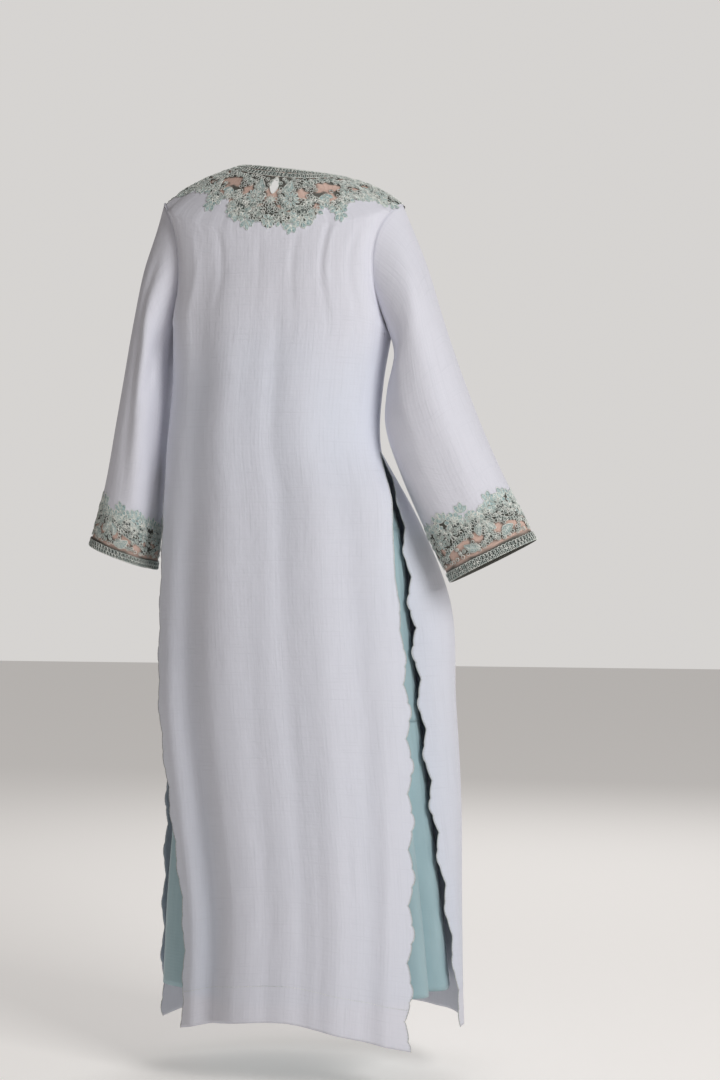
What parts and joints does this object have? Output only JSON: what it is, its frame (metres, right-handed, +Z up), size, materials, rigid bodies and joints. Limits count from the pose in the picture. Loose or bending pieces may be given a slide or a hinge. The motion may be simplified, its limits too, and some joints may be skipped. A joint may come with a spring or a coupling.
{
  "type": "worn jacket dress with slip dress",
  "caption": "Ankle-length linen jacket with embroidered net yoke and cuffs and scalloped side slits, over a tiered slip dress, in worn form.",
  "frame": {"origin": "midway between the neck points of the shoulders, where the wearer's shoulders hold the garment up", "axes": "+Z up, +Y towards the garment's back, -Y its front, +X the wearer's left"},
  "size_m": [0.79, 0.3699, 1.4885],
  "materials": {
    "linen": "pale ice-blue semi-sheer slubby linen, plain weave, matte",
    "embroidered_net": "fine nude net covered with aqua and silver-white embroidery",
    "embroidery": "raised satin and cord stitches in aqua, grey-blue and white",
    "slip_cloth": "teal plain-weave cloth, matte, gathered at the tiers"
  },
  "bodies": {
    "root": {"neckband": "embroidery", "yoke_back": "embroidered_net", "yoke_front_left": "embroidered_net", "yoke_front_right": "embroidered_net", "back_panel": "linen", "front_panel_left": "linen", "front_panel_right": "linen", "edging_back_left": "embroidery", "edging_back_right": "embroidery", "edging_front_left": "embroidery", "edging_front_right": "embroidery", "sleeve_left": "linen", "sleeve_right": "linen", "cuff_left": "embroidered_net", "cuff_right": "embroidered_net", "slip_bodice": "slip_cloth", "slip_middle_tier": "slip_cloth", "slip_lower_tier": "slip_cloth", "slip_strap_left": "slip_cloth", "slip_strap_right": "slip_cloth"}
  },
  "joints": []
}
